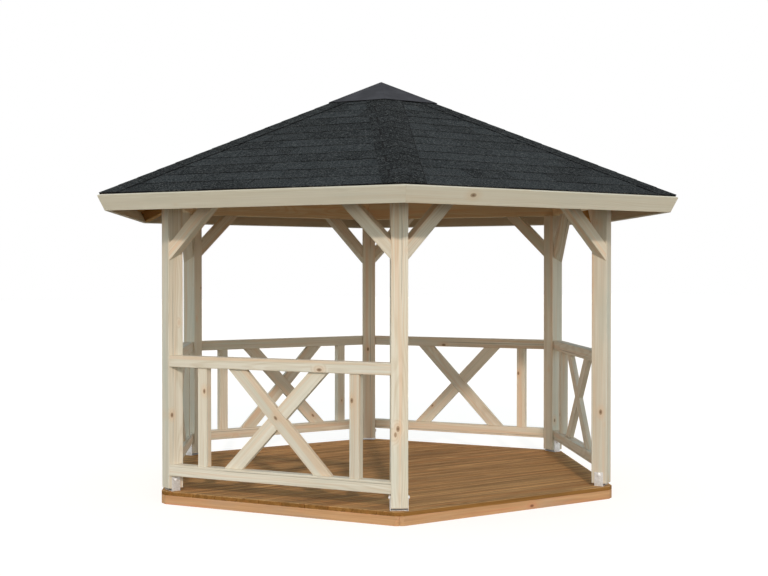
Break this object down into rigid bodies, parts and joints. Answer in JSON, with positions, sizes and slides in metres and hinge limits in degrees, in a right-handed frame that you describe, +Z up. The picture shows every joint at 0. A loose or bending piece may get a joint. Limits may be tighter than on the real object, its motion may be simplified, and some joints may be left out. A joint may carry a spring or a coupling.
{
  "type": "garden gazebo",
  "caption": "Open timber garden gazebo on a hexagonal plank deck, with crossed-board railings, an open entrance bay, knee braces and a dark shingled pyramid roof.",
  "frame": {"origin": "on the ground at the middle of the hexagonal floor, level with the underside of the rim boards and joists", "axes": "+Z up, -Y out through the open entrance bay, +X to the right of someone inside who looks out at +Y"},
  "size_m": [4.38, 3.7932, 2.9292],
  "materials": {
    "frame_timber": "planed, pale grey-cream",
    "deck_timber": "brown stained, grooved",
    "rim_timber": "planed, tan",
    "roof_timber": "planed, warm brown",
    "eave_timber": "planed, grey-beige",
    "shingles": "mineral grains on felt shingles",
    "cap_sheet": "matt anthracite",
    "galvanised_steel": "galvanised"
  },
  "bodies": {
    "root": {"floor_rim": "rim_timber", "floor_joists": "roof_timber", "floor_deck": "deck_timber", "post_shoes": "galvanised_steel", "post_front_left": "frame_timber", "post_front_right": "frame_timber", "post_right": "frame_timber", "post_back_right": "frame_timber", "post_back_left": "frame_timber", "post_left": "frame_timber", "beam_front": "frame_timber", "beam_front_right": "frame_timber", "beam_back_right": "frame_timber", "beam_back": "frame_timber", "beam_back_left": "frame_timber", "beam_front_left": "frame_timber", "braces_front": "frame_timber", "braces_front_right": "frame_timber", "braces_back_right": "frame_timber", "braces_back": "frame_timber", "braces_back_left": "frame_timber", "braces_front_left": "frame_timber", "bottom_rails": "frame_timber", "top_rails": "frame_timber", "infill_front_right": "frame_timber", "infill_back_right": "frame_timber", "infill_back": "frame_timber", "infill_back_left": "frame_timber", "infill_front_left": "frame_timber", "hip_rafters": "roof_timber", "rafter_block": "roof_timber", "roof_boards_front": "roof_timber", "roof_boards_front_right": "roof_timber", "roof_boards_back_right": "roof_timber", "roof_boards_back": "roof_timber", "roof_boards_back_left": "roof_timber", "roof_boards_front_left": "roof_timber", "fascia_front": "eave_timber", "fascia_front_right": "eave_timber", "fascia_back_right": "eave_timber", "fascia_back": "eave_timber", "fascia_back_left": "eave_timber", "fascia_front_left": "eave_timber", "roof_shingles": "shingles", "roof_cap": "cap_sheet"}
  },
  "joints": []
}
